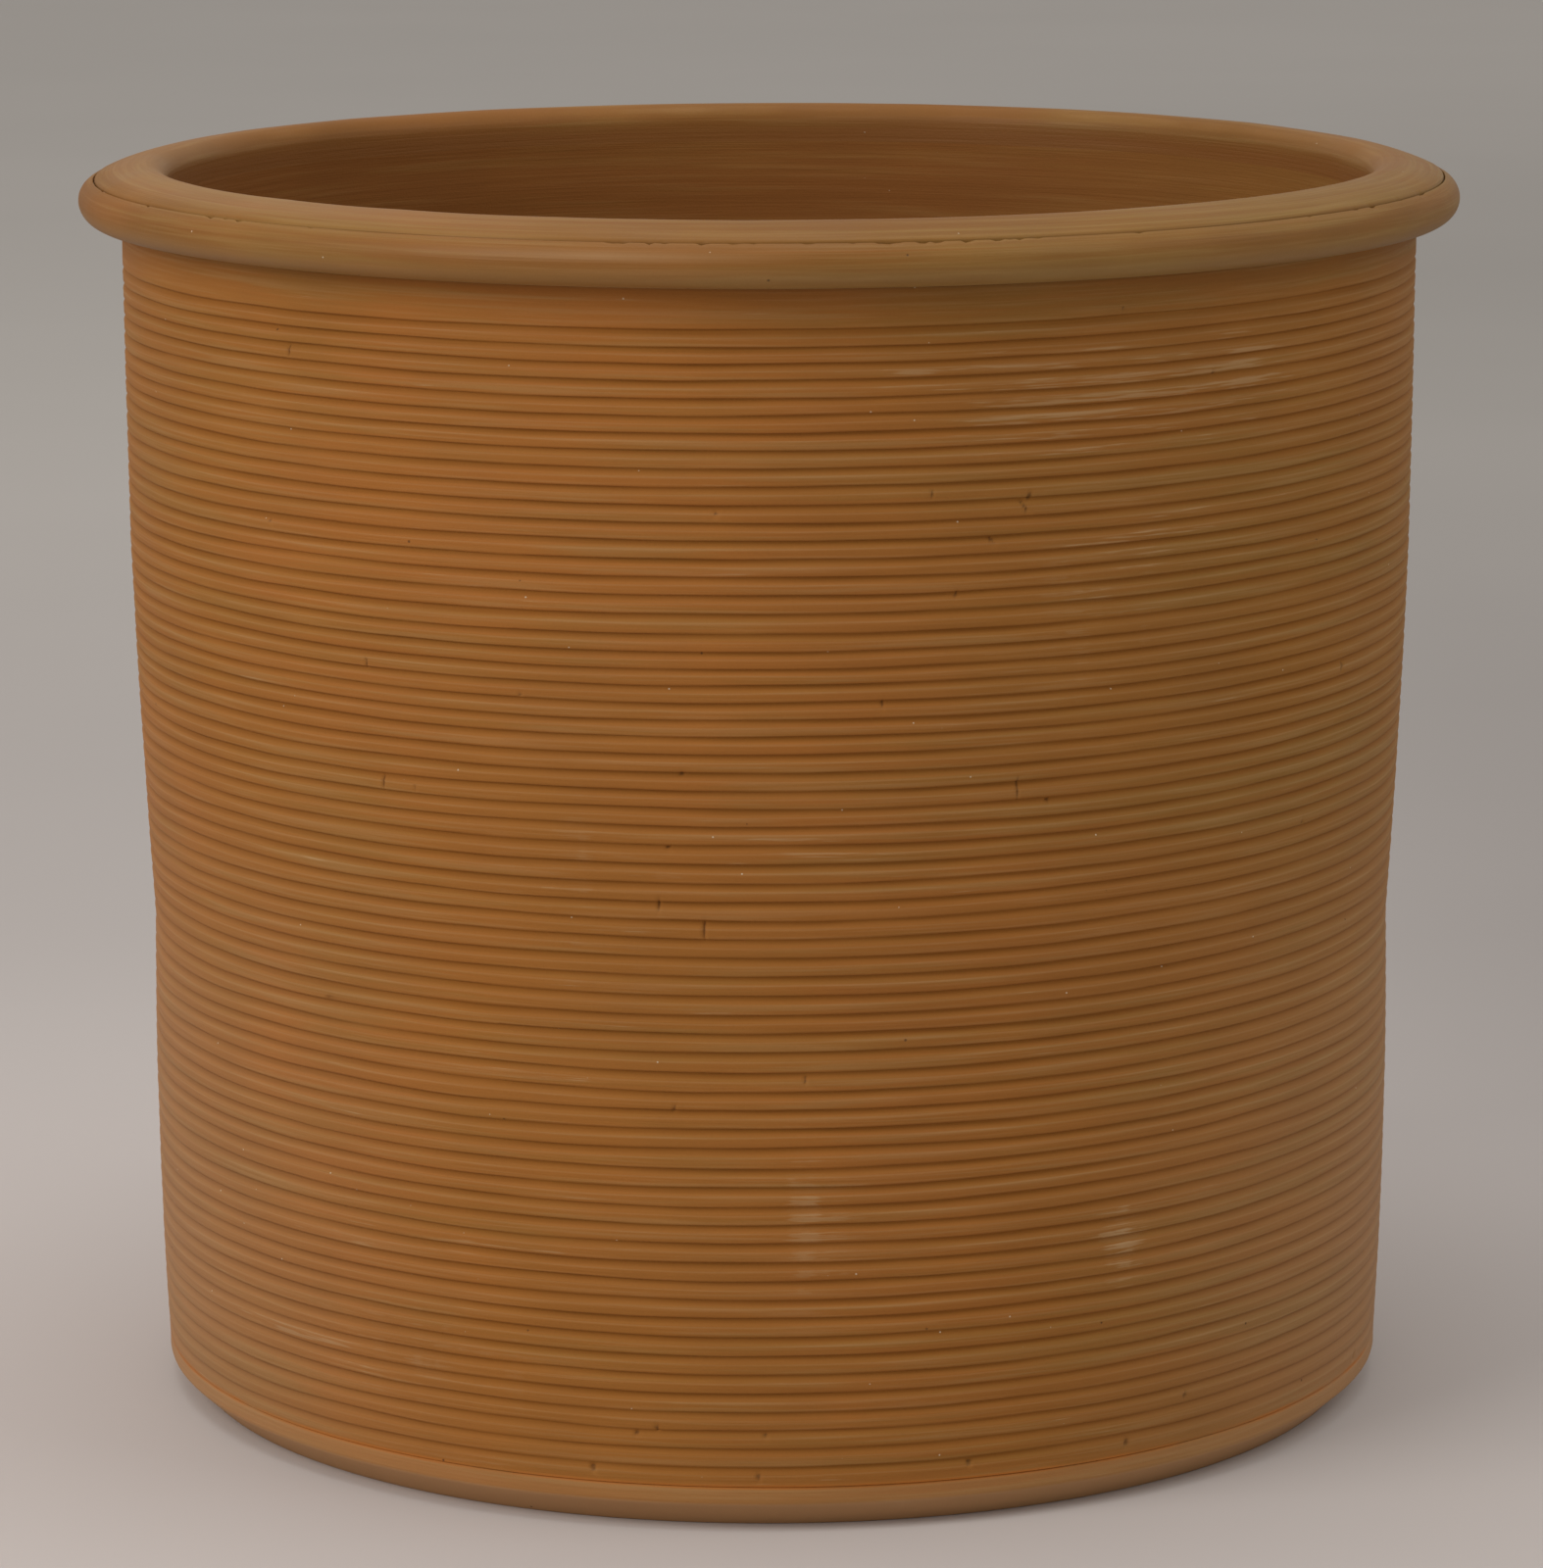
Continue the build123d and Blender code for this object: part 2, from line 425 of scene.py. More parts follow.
def combed_wall_tree():
    """Geometry nodes for the outside of a wall ring, with the comb's spiral in it."""
    tree = bpy.data.node_groups.new("Combed wall", "GeometryNodeTree")
    for name, kind, default in WALL_INPUTS:
        socket = tree.interface.new_socket(name, in_out="INPUT", socket_type=kind)
        if default is not None:
            socket.default_value = default
    tree.interface.new_socket("Geometry", in_out="OUTPUT", socket_type="NodeSocketGeometry")
    graph = Graph(tree)
    entry = tree.nodes.new("NodeGroupInput")
    given = {name: Wire(graph, entry.outputs[name]) for name, _kind, _default in WALL_INPUTS}
    teeth = len(COMB_ROWS)

    rows = (given["Comb Marks"] + 2) * teeth
    grid = graph.add(
        "GeometryNodeMeshGrid",
        inputs={
            "Size X": 1.0,
            "Size Y": 1.0,
            "Vertices X": given["Columns"] + 1,
            "Vertices Y": rows + 1,
        },
    )
    share, up, _flat = graph.parts(graph.add("GeometryNodeInputPosition"))
    angle = share * math.tau
    east = graph.math("SINE", angle)
    south = 0.0 - graph.math("COSINE", angle)

    # Each mesh row keeps its place in the comb's section all the way round
    cycle = graph.math("ROUND", (up + 0.5) * rows) / teeth
    whole = graph.math("FLOOR", cycle + 0.001)
    row_points = [(index / teeth, place) for index, place in enumerate(COMB_ROWS)] + [(1.0, 1.0)]
    place = graph.add(
        "ShaderNodeFloatCurve", {"curve": row_points}, {"Factor": 1.0, "Value": cycle - whole}
    )
    last_turn = given["First Turn"] + given["Turns"]

    def on_this_ring(turn):
        return graph.math("MINIMUM", graph.math("MAXIMUM", turn, given["First Turn"]), last_turn)

    straight = whole - 1.0 + place - COMB_MIDDLE + given["First Turn"] + share
    steady = on_this_ring(straight)
    wander_at = graph.vector(east * 1.6, south * 1.6, steady * 0.31 + given["Seed"])
    wander = (graph.noise(wander_at, 1.0, 2.0) - 0.5) * given["Comb Wander"] * 2.0
    slow_at = graph.vector(east * 5.0, south * 5.0, steady * 0.9 + given["Seed"] * 2.0)
    wander = wander + (graph.noise(slow_at, 1.0, 1.0) - 0.5) * given["Comb Wander"] * 0.5
    turn = on_this_ring(straight + wander)

    # Level and radius of the wall at that turn
    share_up = (turn - given["First Turn"]) / given["Turns"]
    rise = share_up * given["First Pitch"] + share_up * share_up * (1.0 - given["First Pitch"])
    level = given["Base Level"] + given["Height"] * rise
    swell = given["Belly"] * 4.0 * rise * (1.0 - rise)
    radius = given["Base Radius"] + (given["Top Radius"] - given["Base Radius"]) * rise + swell
    skin_at = graph.vector(east * 1.5, south * 1.5, level * 9.0 + given["Seed"])
    radius = radius + (graph.noise(skin_at, 2.4, 2.0) - 0.5) * given["Unevenness"] * 2.0

    # Depth of the comb there
    phase = graph.math("FRACT", turn - share - wander + (100.0 + COMB_MIDDLE))
    section = graph.add(
        "ShaderNodeFloatCurve",
        {"curve": COMB_SECTION},
        {"Factor": 1.0, "Value": phase},
    )
    combed = graph.ramp(turn, given["Comb Down"] - 0.1, given["Comb Down"] + 0.1)
    lifted = graph.ramp(turn, given["Comb Up"] - 0.14, given["Comb Up"] + 0.1)
    press_at = graph.vector(east * 3.0, south * 3.0, turn * 0.55)
    press = 0.35 + graph.noise(press_at, 1.3, 2.0) * 1.3
    light_foot = graph.ramp(turn, 0.0, 9.0, 0.72, 1.0)
    bite = (section - RIB_FACE) * combed * (1.0 - lifted) * press * light_foot
    skin = radius - given["Comb Depth"] * bite

    # The mark is stored while the grid's points still lie flat, as its place is read from them
    marked = graph.add(
        "GeometryNodeStoreNamedAttribute",
        {"data_type": "FLOAT", "domain": "POINT"},
        {"Geometry": grid, "Name": "groove", "Value": bite},
    )
    moved = graph.add(
        "GeometryNodeSetPosition",
        inputs={"Geometry": marked, "Position": graph.vector(east * skin, south * skin, level)},
    )
    welded = graph.add(
        "GeometryNodeMergeByDistance", inputs={"Geometry": moved, "Distance": 0.00002}
    )
    smooth = graph.add("GeometryNodeSetShadeSmooth", inputs={"Geometry": welded})
    real = graph.add("GeometryNodeRealizeInstances", inputs={"Geometry": smooth})
    fired = graph.add(
        "GeometryNodeSetMaterial", inputs={"Geometry": real, "Material": given["Clay"]}
    )
    leave = tree.nodes.new("NodeGroupOutput")
    tree.links.new(fired.socket, leave.inputs["Geometry"])
    return tree


def made_by_nodes(name, tree, values):
    """An object with the plain mesh that a geometry tree makes from the given values."""
    piece = bpy.data.objects.new(name, bpy.data.meshes.new(name))
    bpy.context.scene.collection.objects.link(piece)
    modifier = piece.modifiers.new(name, "NODES")
    modifier.node_group = tree
    for socket in tree.interface.items_tree:
        if socket.item_type == "SOCKET" and socket.in_out == "INPUT":
            modifier[socket.identifier] = values[socket.name]
    graph = bpy.context.evaluated_depsgraph_get()
    mesh = bpy.data.meshes.new_from_object(piece.evaluated_get(graph), depsgraph=graph)
    piece.modifiers.clear()
    piece.data = mesh
    mesh.name = name
    return piece


# Turned pieces made in mesh code


def uneven(radius_scale, angle, level, depth):
    """A small, slow, repeatable error of the hand at a place on the pot, up to depth each way."""
    place = Vector((
        math.sin(angle) * radius_scale,
        -math.cos(angle) * radius_scale,
        level * 40.0,
    ))
    return noise.noise(place) * depth


def at(radius, angle, level):
    """The point at a radius, an angle round from the front, and a level."""
    return (radius * math.sin(angle), -radius * math.cos(angle), level)


def turned(name, outline, columns, relief):
    """Turns a closed outline of (radius, level) round the pot's axis, with relief(r, z, angle)."""
    rows = len(outline)
    points, faces = [], []
    for column in range(columns):
        angle = math.tau * column / columns
        for radius, level in outline:
            points.append(at(*relief(radius, level, angle)))
    for column in range(columns):
        here = column * rows
        there = (column + 1) % columns * rows
        for row in range(rows):
            above = (row + 1) % rows
            faces.append((here + row, there + row, there + above, here + above))
    mesh = bpy.data.meshes.new(name)
    mesh.from_pydata(points, [], faces)
    return finished_object(name, mesh)


def finished_object(name, mesh):
    """Puts a mesh in the scene with its faces outwards, smooth but for its sharp edges."""
    work = bmesh.new()
    work.from_mesh(mesh)
    bmesh.ops.remove_doubles(work, verts=work.verts, dist=1e-7)
    bmesh.ops.recalc_face_normals(work, faces=work.faces)
    soften(work)
    work.to_mesh(mesh)
    work.free()
    piece = bpy.data.objects.new(name, mesh)
    bpy.context.scene.collection.objects.link(piece)
    return piece


def soften(work, sharp_angle=math.radians(50)):
    """Shades every face smooth, and keeps the edges sharper than an angle."""
    for face in work.faces:
        face.smooth = True
    for edge in work.edges:
        if len(edge.link_faces) == 2:
            edge.smooth = edge.calc_face_angle(0.0) < sharp_angle


def round_corner(centre, radius, start, end, steps):
    """Points of an arc about a centre, between two angles in degrees."""
    turn = [math.radians(start + (end - start) * i / steps) for i in range(steps + 1)]
    return [(centre[0] + radius * math.cos(a), centre[1] + radius * math.sin(a)) for a in turn]


def span(first, last, steps):
    """Points from one to just short of another, evenly."""
    return [
        tuple(a + (b - a) * i / steps for a, b in zip(first, last)) for i in range(steps)
    ]


def in_metres(outline):
    """An outline of (radius, level) in millimetres, turned into metres."""
    return [(radius * MM, level * MM) for radius, level in outline]


def extend_ring(work, edges, outline):
    """Carries an open edge of a ring on through the points of an outline."""
    for radius, level in outline:
        grown = bmesh.ops.extrude_edge_only(work, edges=edges)["geom"]
        edges = [item for item in grown if isinstance(item, bmesh.types.BMEdge)]
        for corner in {corner for edge in edges for corner in edge.verts}:
            angle = math.atan2(corner.co.x, -corner.co.y)
            ripple = inside_ripple(radius, level, angle)
            corner.co = at(radius * MM + ripple, angle, level * MM)
    return edges


def inside_ripple(radius, level, angle):
    """Finger rings on the inside of the wall, at a radius and level in millimetres."""
    sizes = bpy.context.scene.planter_sizes
    if radius > MOUTH_RADIUS + 1.0 or not FLOOR_LEVEL + 4.0 <= level <= LIP_SEAT - 1.0:
        return 0.0
    rings = math.sin(level * math.tau / 24.0 + angle)
    slow = noise.noise(Vector((math.sin(angle) * 1.4, math.cos(angle) * 1.4, level * 0.02)))
    return (rings * 0.6 + slow) * sizes.throwing_ring_depth


def cross_edges(work, level, tolerance=1e-5):
    """The open edges of a ring that lie at a level, in metres."""
    return [
        edge
        for edge in work.edges
        if len(edge.link_faces) == 1
        and all(abs(corner.co.z - level) < tolerance for corner in edge.verts)
    ]


def wall_radius(level):
    """Radius of the wall's outside at a level, in metres."""
    joints = (HEEL, LOWER_JOINT, UPPER_JOINT, WALL_TOP)
    for (low_radius, low), (high_radius, high) in zip(joints, joints[1:]):
        if level <= high:
            share = (level - low) / (high - low)
            return (low_radius + (high_radius - low_radius) * share) * MM
    return WALL_TOP[0] * MM


def press_nicks(work, nicks):
    """Splits the mesh finely round each nick, then presses the nick into the wall."""
    reach = 1.3
    fine_margin = 1.5 * MM
    edge_margin = 4.0 * MM
    level_edge = 0.4 * MM
    largest_reach = 12.0 * MM
    steepness = 1.8
    places = []
    for angle, level, half_width, half_height, depth, lean in nicks:
        centre = Vector(at(wall_radius(level), math.radians(angle), level * MM))
        places.append((centre, half_width * MM, half_height * MM, depth * MM, math.radians(lean)))

    pressed = work.verts.layers.float.new("nick")

    def local(point, place):
        """Where a point lies in a nick, in half widths and half heights from its middle."""
        centre, half_width, half_height, _depth, lean = place
        offset = point - centre
        along = Vector((-centre.y, centre.x, 0.0)).normalized()
        across = offset.dot(along)
        rise = offset.z
        turned_x = across * math.cos(lean) + rise * math.sin(lean)
        turned_y = rise * math.cos(lean) - across * math.sin(lean)
        return turned_x / half_width, turned_y / half_height

    fine = []
    for edge in work.edges:
        ends = [corner.co for corner in edge.verts]
        middle = (ends[0] + ends[1]) / 2
        if abs(ends[0].z - ends[1].z) > level_edge:
            continue
        for place in places:
            size = max(place[1], place[2]) * reach + fine_margin
            if (middle - place[0]).length < size + edge_margin:
                offset = middle - place[0]
                offset -= offset.project(Vector((place[0].x, place[0].y, 0.0)))
                if offset.length < size:
                    fine.append(edge)
                    break
    bmesh.ops.subdivide_edges(work, edges=fine, cuts=3)
    for corner in work.verts:
        for place in places:
            if (corner.co - place[0]).length > largest_reach:
                continue
            x, y = local(corner.co, place)
            hollow = max(0.0, 1.0 - math.sqrt(x * x + y * y))
            if hollow:
                outward = Vector((corner.co.x, corner.co.y, 0.0)).normalized()
                corner.co -= outward * place[3] * min(1.0, hollow * steepness)
                corner[pressed] = min(1.0, hollow * steepness)


def random_nicks(seed, base, top, count):
    """Small pits all round a ring, between two levels in millimetres."""
    dice = random.Random(seed)
    return [
        (
            dice.uniform(-180, 180),
            dice.uniform(base + 6, top - 6),
            dice.uniform(0.6, 1.4),
            dice.uniform(0.7, 2.6),
            dice.uniform(0.4, 0.9),
            dice.uniform(-25, 25),
        )
        for _index in range(count)
    ]


# The clay


def clay_material(name, inside=False, rim=False):
    """Unglazed, combed terracotta, worn and stained a little, with painted shade and light in
    places.
    """
    colours = bpy.context.scene.planter_colours
    material, graph = empty_material(name)
    place = graph.add("ShaderNodeTexCoord", output=3)
    x, y, z = graph.parts(place)
    groove = graph.add("ShaderNodeAttribute", {"attribute_name": "groove"}, output=2)
    nick = graph.add("ShaderNodeAttribute", {"attribute_name": "nick"}, output=2)
    # Degrees round from the front, and how far round either way
    angle = graph.math("ARCTAN2", x, 0.0 - y) * (180.0 / math.pi)
    sideways = graph.math("ABSOLUTE", angle)
    # Radius in metres, and level in millimetres
    radius = graph.math("SQRT", x * x + y * y)
    level = z * (1.0 / MM)
    lathe = graph.vector(x, y, z - radius)

    def lines(across, up, detail=2.0, where=lathe):
        """Noise in streaks that follow the turning of the wheel, in cells a metre."""
        return graph.noise(graph.stretch(where, (across, across, up)), 1.0, detail, 0.6)

    def near(value, middle, half_width):
        """One at a value, falling evenly to zero at a distance from it."""
        away = graph.math("ABSOLUTE", value - middle) / half_width
        return graph.math("MAXIMUM", 1.0 - away, 0.0)

    def patches(places):
        """The sum of soft patches at angles and levels."""
        total = 0.0
        for turn, height, half_width, half_height, strength in places:
            spot = near(angle, turn, half_width) * near(level, height, half_height)
            total = spot * strength + total
        return total

    cloud = lines(5.0, 5.0, 3.0, place)
    band = lines(4.0, 24.0, 3.0)
    streak = lines(9.0, 300.0, 3.0)
    line = lines(14.0, 900.0)
    stroke = lines(34.0, 850.0)
    blotch = lines(22.0, 22.0, 3.0, place)
    grain = lines(900.0, 900.0, 2.0, place)

    # Slow changes of tone, drawn out round the pot as it turned, and painted shade that makes the
    # right side more olive and darker
    # The inside takes a darker copy of the clay: painted shade inside the pot
    main = colours.inside if inside else colours.rim if rim else colours.clay
    ember = colours.inside if inside else colours.ember
    colour = graph.mix(graph.ramp(cloud, 0.38, 0.66, 0.0, 0.35 if rim else 1.0), main, ember)
    wash = graph.ramp(band * 0.55 + streak * 0.45, 0.46, 0.62) * (0.5 if inside else 1.0)
    fading = 1.0 - graph.ramp(angle, 110.0, 165.0)
    # The bead's underside: olive clay, painted paler as well to stand in for light bounced up from
    # the floor
    below = 1.0 - graph.ramp(level, 475.0, 483.0)
    # Olive wash in streaks; the ramps by angle tint the right side olive as painted shade
    if rim:
        olive = wash * 0.45 + below * 0.35 + near(radius, BEAD_CENTRE[0] * MM, 0.006) * 0.25
        olive = olive + graph.ramp(angle, -20.0, 45.0) * fading * 0.25
    else:
        olive = wash * 0.35 + graph.ramp(angle, -5.0, 60.0) * fading * 0.3
    colour = graph.mix(olive, colour, colours.olive)
    tone = 0.77 + blotch * 0.16 + streak * 0.16 + line * 0.16 + grain * 0.07
    # Painted shade: the right side darker, away from the key lamp
    shady_side = graph.ramp(angle, 15.0, 70.0) if rim else graph.ramp(angle, -14.0, 14.0)
    tone = tone - shady_side * fading * (0.13 if rim else 0.0 if inside else 0.08)
    colour = graph.times(colour, tone)

    # Comb marks painted darker, partly deeper clay and partly painted shade in their hollows; their
    # lower lips get a painted highlight, and the ribs are worn pale
    colour = graph.mix(graph.ramp(groove, 0.12, 0.85, 0.0, 0.66), colour, colours.groove)
    rib = 1.0 - graph.ramp(groove, 0.0, 0.25)
    # Painted highlight along the lower lips of the comb marks
    lip = 1.0 - graph.ramp(groove, -0.07, -0.01)
    worn = graph.ramp(streak * 0.5 + line * 0.5, 0.47, 0.64)
    bloom = worn * rib * (0.05 if inside else 0.08 if rim else 0.16) + lip * 0.14
    if not (inside or rim):
        scuff = patches(SCUFFED_PLACES) + (stroke - 0.5) * 1.9 + (line - 0.5) * 0.9
        bloom = bloom + graph.ramp(scuff, 0.40, 0.68, 0.0, 0.42) * rib
        chalk = patches(CHALKY_PLACES)
        drip = lines(75.0, 11.0, 2.0, place) * 0.4 + stroke * 0.6
        runs = graph.ramp(chalk + (drip - 0.5) * 4.4, 0.42, 0.66) * (rib * 0.8 + 0.2)
        bloom = bloom + runs * chalk * 0.9
    if rim:
        # Painted light: the lip's top paler at the front left, where the key lamp falls, and a
        # little at the right
        face = graph.ramp(level, 486.5, 489.0) * (1.0 - graph.ramp(radius, 0.258, 0.267))
        side = graph.ramp(angle, -50.0, 0.0, 0.22, 0.0) + graph.ramp(angle, 40.0, 80.0, 0.0, 0.06)
        front = 1.0 - graph.ramp(sideways, 95.0, 130.0)
        # Painted highlight: a pale band along the bead's upper side at the front left
        sheen = near(level, 484.2, 2.6) * near(angle, -13.0, 17.0)
        bloom = bloom + face * side * front + sheen * 0.4 + below * 0.16
        # Painted shade: the lip's inner face near the mouth takes the inside's darker colour,
        # without bloom
        mouth = MOUTH_RADIUS * MM
        throat = 1.0 - graph.ramp(radius, mouth + 0.0002, mouth + 0.003)
        throat = throat * (1.0 - graph.ramp(level, 482.0, 491.0))
        colour = graph.mix(throat * 0.8, colour, colours.inside)
        bloom = bloom * (1.0 - throat)
        # Painted shade: a thin dark line along the bead just under the seam, where a crease would
        # be shaded
        crease = near(level, 486.0, 0.5) * near(angle, 5.0, 22.0)
        colour = graph.mix(crease * 0.9, colour, colours.groove)
    colour = graph.mix(bloom, colour, colours.pale)

    # Dust low on the sides with painted sheen at the edges, the foot painted pale for bounced
    # light, bright clean clay in the joint above it, and painted shadow under the bead
    low = 1.0 - graph.ramp(level, 40.0, 330.0)
    # Dust low on the sides, and painted sheen where the sides turn away towards the edges
    dust_and_sheen = graph.ramp(sideways, 22.0, 80.0) * low * 0.30 + graph.ramp(sideways, 55.0, 85.0) * 0.07
    # Painted bounce light: the bevel and the underside painted pale as a stand-in for light bounced
    # up from the floor
    foot = 1.0 - graph.ramp(level, 10.4, 11.8, 0.15, 0.75)
    foot_band = 1.0 - graph.ramp(level, HEEL[1] - 1.5, HEEL[1])
    if not (inside or rim):
        colour = graph.mix(dust_and_sheen, colour, colours.dust_and_sheen)
        colour = graph.mix(foot * foot_band, colour, colours.foot)
        joint = near(level, HEEL[1] - 0.1, 1.3) * graph.ramp(lines(24.0, 6.0), 0.3, 0.6)
        colour = graph.mix(joint, colour, colours.joint)
        # Painted shadow: a dark line on the wall just under the bead
        corner = near(level, WALL_TOP[1], 2.2) * 0.6
        colour = graph.mix(corner, colour, colours.pit)

    # Grog specks and dirty pits
    def specks(scale, chosen, size):
        """Scattered spots: cells a metre, share of the cells kept, and radius in cells."""
        cells = graph.add("ShaderNodeTexVoronoi", inputs={"Vector": place, "Scale": scale})
        pick = graph.parts(Wire(graph, cells.socket.node.outputs["Color"]))[0]
        keep = graph.ramp(pick, 1.0 - chosen, 1.005 - chosen)
        return (1.0 - graph.ramp(cells, size * 0.5, size)) * keep

    speck = specks(190.0, 0.045, 0.085)
    pit = specks(120.0, 0.045, 0.075)
    colour = graph.mix(speck * 0.75, colour, colours.grog)
    dirt = graph.math("MINIMUM", pit * 0.7 + graph.ramp(nick, 0.2, 1.0) * 0.45, 1.0)
    colour = graph.mix(dirt, colour, colours.pit)

    roughness = (0.54 if rim else 0.72) + (blotch - 0.5) * 0.25 + groove * 0.1
    height = grain * 0.25 + streak * 0.35 + line * 0.5 + stroke * 0.15 - pit * 1.2 + speck * 0.3
    bump = graph.add(
        "ShaderNodeBump", inputs={"Strength": 0.4, "Distance": 0.0007, "Height": height}
    )
    graph.finish(colour, roughness, 0.22 if rim else 0.14, bump)
    return material


def empty_material(name):
    """A new material with an empty tree, and the graph that fills it."""
    material = bpy.data.materials.new(name)
    material.use_nodes = True
    material.node_tree.nodes.clear()
    return material, Graph(material.node_tree)


def clay(kind):
    """The clay of the outside, the inside or the rim, made once."""
    name = f"Terracotta {kind}"
    found = bpy.data.materials.get(name)
    return found or clay_material(name, inside=kind == "inside", rim=kind == "rim")


def hand_over(piece, node):
    """Makes a finished piece stand for its CAD node."""
    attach(piece, BODY)
    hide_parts(node)


def wall_ring(sizes, node, base, top, belly, first_turn, turns, marks, first_pitch):
    """A wall ring: the comb's tree makes its outside, and its joints and inside close it."""
    tree = bpy.data.node_groups.get("Combed wall") or combed_wall_tree()
    piece = made_by_nodes(f"{node}_fired", tree, {
        "Columns": sizes.wall_columns,
        "Comb Marks": marks,
        "First Turn": float(first_turn),
        "Turns": float(turns),
        "First Pitch": first_pitch,
        "Base Level": base[1] * MM,
        "Height": (top[1] - base[1]) * MM,
        "Base Radius": base[0] * MM,
        "Top Radius": top[0] * MM,
        "Belly": belly * MM,
        "Comb Down": COMB_DOWN,
        "Comb Up": COMB_UP,
        "Comb Depth": sizes.comb_depth,
        "Comb Wander": sizes.comb_wander,
        "Unevenness": sizes.unevenness,
        "Seed": sizes.seed,
        "Clay": clay("outside"),
    })
    work = bmesh.new()
    work.from_mesh(piece.data)
    groove = work.verts.layers.float["groove"]
    top_edges = cross_edges(work, top[1] * MM)
    base_edges = cross_edges(work, base[1] * MM)
    inner = base[0] - WALL_THICKNESS
    recess = (base[0] - HALF_WALL, base[1] + TONGUE)
    extend_ring(work, base_edges, [(recess[0], base[1]), recess, (inner, recess[1])])
    top_outline = collar() if top == WALL_TOP else joint_above(top)
    end = top_outline[-1]
    row_height = 6.0
    steps = round((end[1] - recess[1]) / row_height)
    down = span(end, (inner, recess[1]), steps)[1:] + [(inner, recess[1])]
    extend_ring(work, top_edges, top_outline + down)
    for corner in work.verts:
        if corner.co.xy.length < (inner + HALF_WALL) * MM:
            corner[groove] = 0.0
    bmesh.ops.remove_doubles(work, verts=work.verts, dist=1e-6)
    nicks = [nick for nick in NICKS if base[1] < nick[1] < top[1]]
    press_nicks(work, nicks + random_nicks(first_turn, base[1], top[1], count=12))
    bmesh.ops.recalc_face_normals(work, faces=work.faces)
    soften(work)
    limit = (inner + 3.0) * MM
    taper = 0.05
    for face in work.faces:
        centre = face.calc_center_median()
        inner_side = centre.xy.length < limit + (centre.z - base[1] * MM) * taper
        face.material_index = 1 if inner_side else 0
    piece.data.materials.clear()
    piece.data.materials.append(clay("outside"))
    piece.data.materials.append(clay("inside"))
    work.to_mesh(piece.data)
    work.free()
    hand_over(piece, node)


def joint_above(joint):
    """The outline of a ring's stepped top, from its outside to its inside."""
    radius, level = joint
    return [
        (radius - HALF_WALL, level),
        (radius - HALF_WALL, level + TONGUE),
        (radius - WALL_THICKNESS, level + TONGUE),
    ]


def collar():
    """The outline of the top wall ring's collar: the bead's ledge, then the lip's seat."""
    return [
        (COLLAR_RADIUS, WALL_TOP[1]),
        (COLLAR_RADIUS, COLLAR_TOP),
        (COLLAR_BORE, COLLAR_TOP),
        (COLLAR_BORE, LIP_SEAT),
        (MOUTH_RADIUS, LIP_SEAT),
    ]


class PLANTER_OT_wall(bpy.types.Operator):
    """Makes the three combed wall rings"""

    bl_idname = "planter.wall"
    bl_label = "Wall rings"

    def execute(self, context):
        for ring in RINGS:
            wall_ring(context.scene.planter_sizes, *ring)
        return {"FINISHED"}


